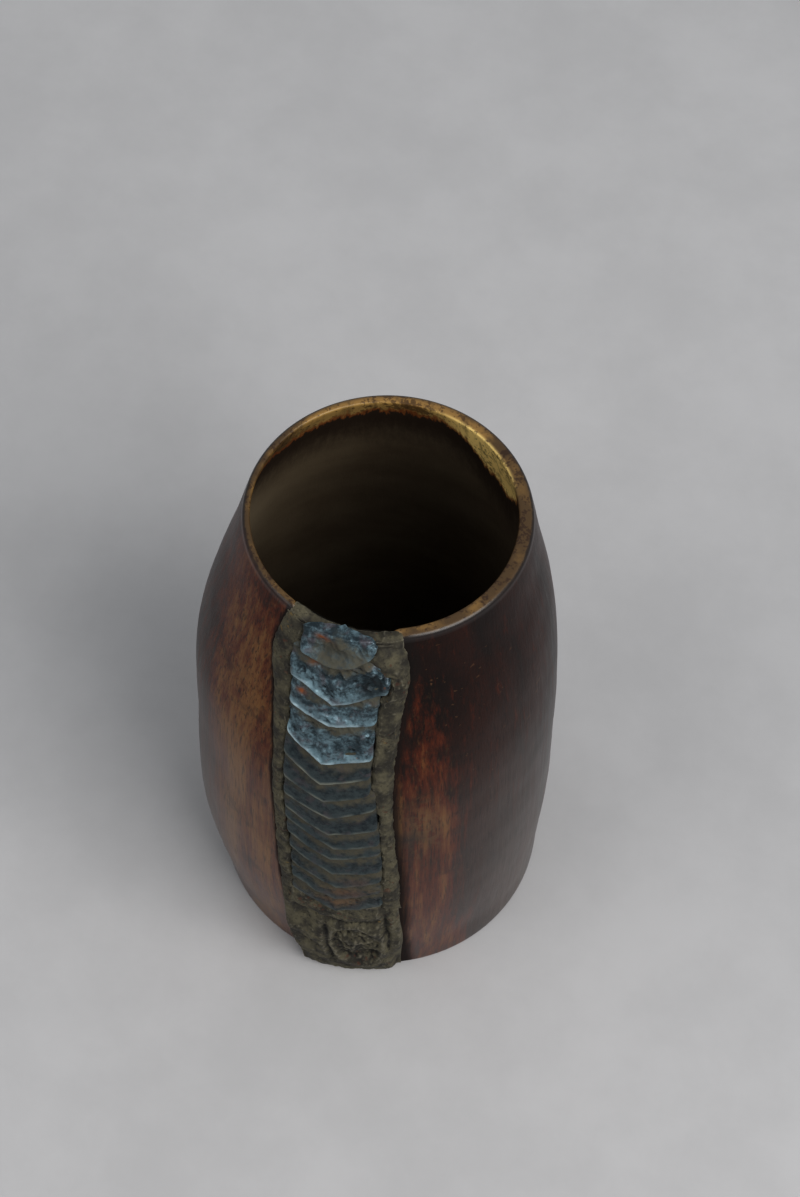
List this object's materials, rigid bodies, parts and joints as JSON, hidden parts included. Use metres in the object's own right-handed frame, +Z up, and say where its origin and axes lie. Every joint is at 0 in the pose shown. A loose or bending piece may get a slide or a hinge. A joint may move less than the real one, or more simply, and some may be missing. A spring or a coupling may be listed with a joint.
{
  "type": "wooden milk container",
  "caption": "Carved wooden milk container: a tall bowed vessel with a narrower open mouth, its long crack laced with lapped metal straps set in mastic.",
  "frame": {"origin": "centre of the foot's flat underside, on the surface that the vessel stands on", "axes": "+Z up along the vessel, -Y towards the repaired side, +X to the right of someone who faces the repair"},
  "size_m": [0.1244, 0.1291, 0.21],
  "materials": {
    "wood": "dark red-brown, oiled and smoked, satin to glossy from handling, with a fine upright grain",
    "strap_metal": "thin sheet, blue-grey, crumpled and polished on the ridges, with brown dust and specks of rust in the laps",
    "mastic": "dried gum with dust in it, matte grey-brown"
  },
  "bodies": {
    "root": {"vessel_body": "wood", "crack_filler": "mastic", "lip_fill": "mastic", "rim_plate": "strap_metal", "strap_01": "strap_metal", "strap_02": "strap_metal", "strap_03": "strap_metal", "strap_04": "strap_metal", "strap_05": "strap_metal", "strap_06": "strap_metal", "strap_07": "strap_metal", "strap_08": "strap_metal", "strap_09": "strap_metal", "strap_10": "strap_metal", "strap_11": "strap_metal", "strap_12": "strap_metal", "strap_13": "strap_metal", "bead_left": "mastic", "bead_right": "mastic", "foot_lump": "mastic"}
  },
  "joints": []
}
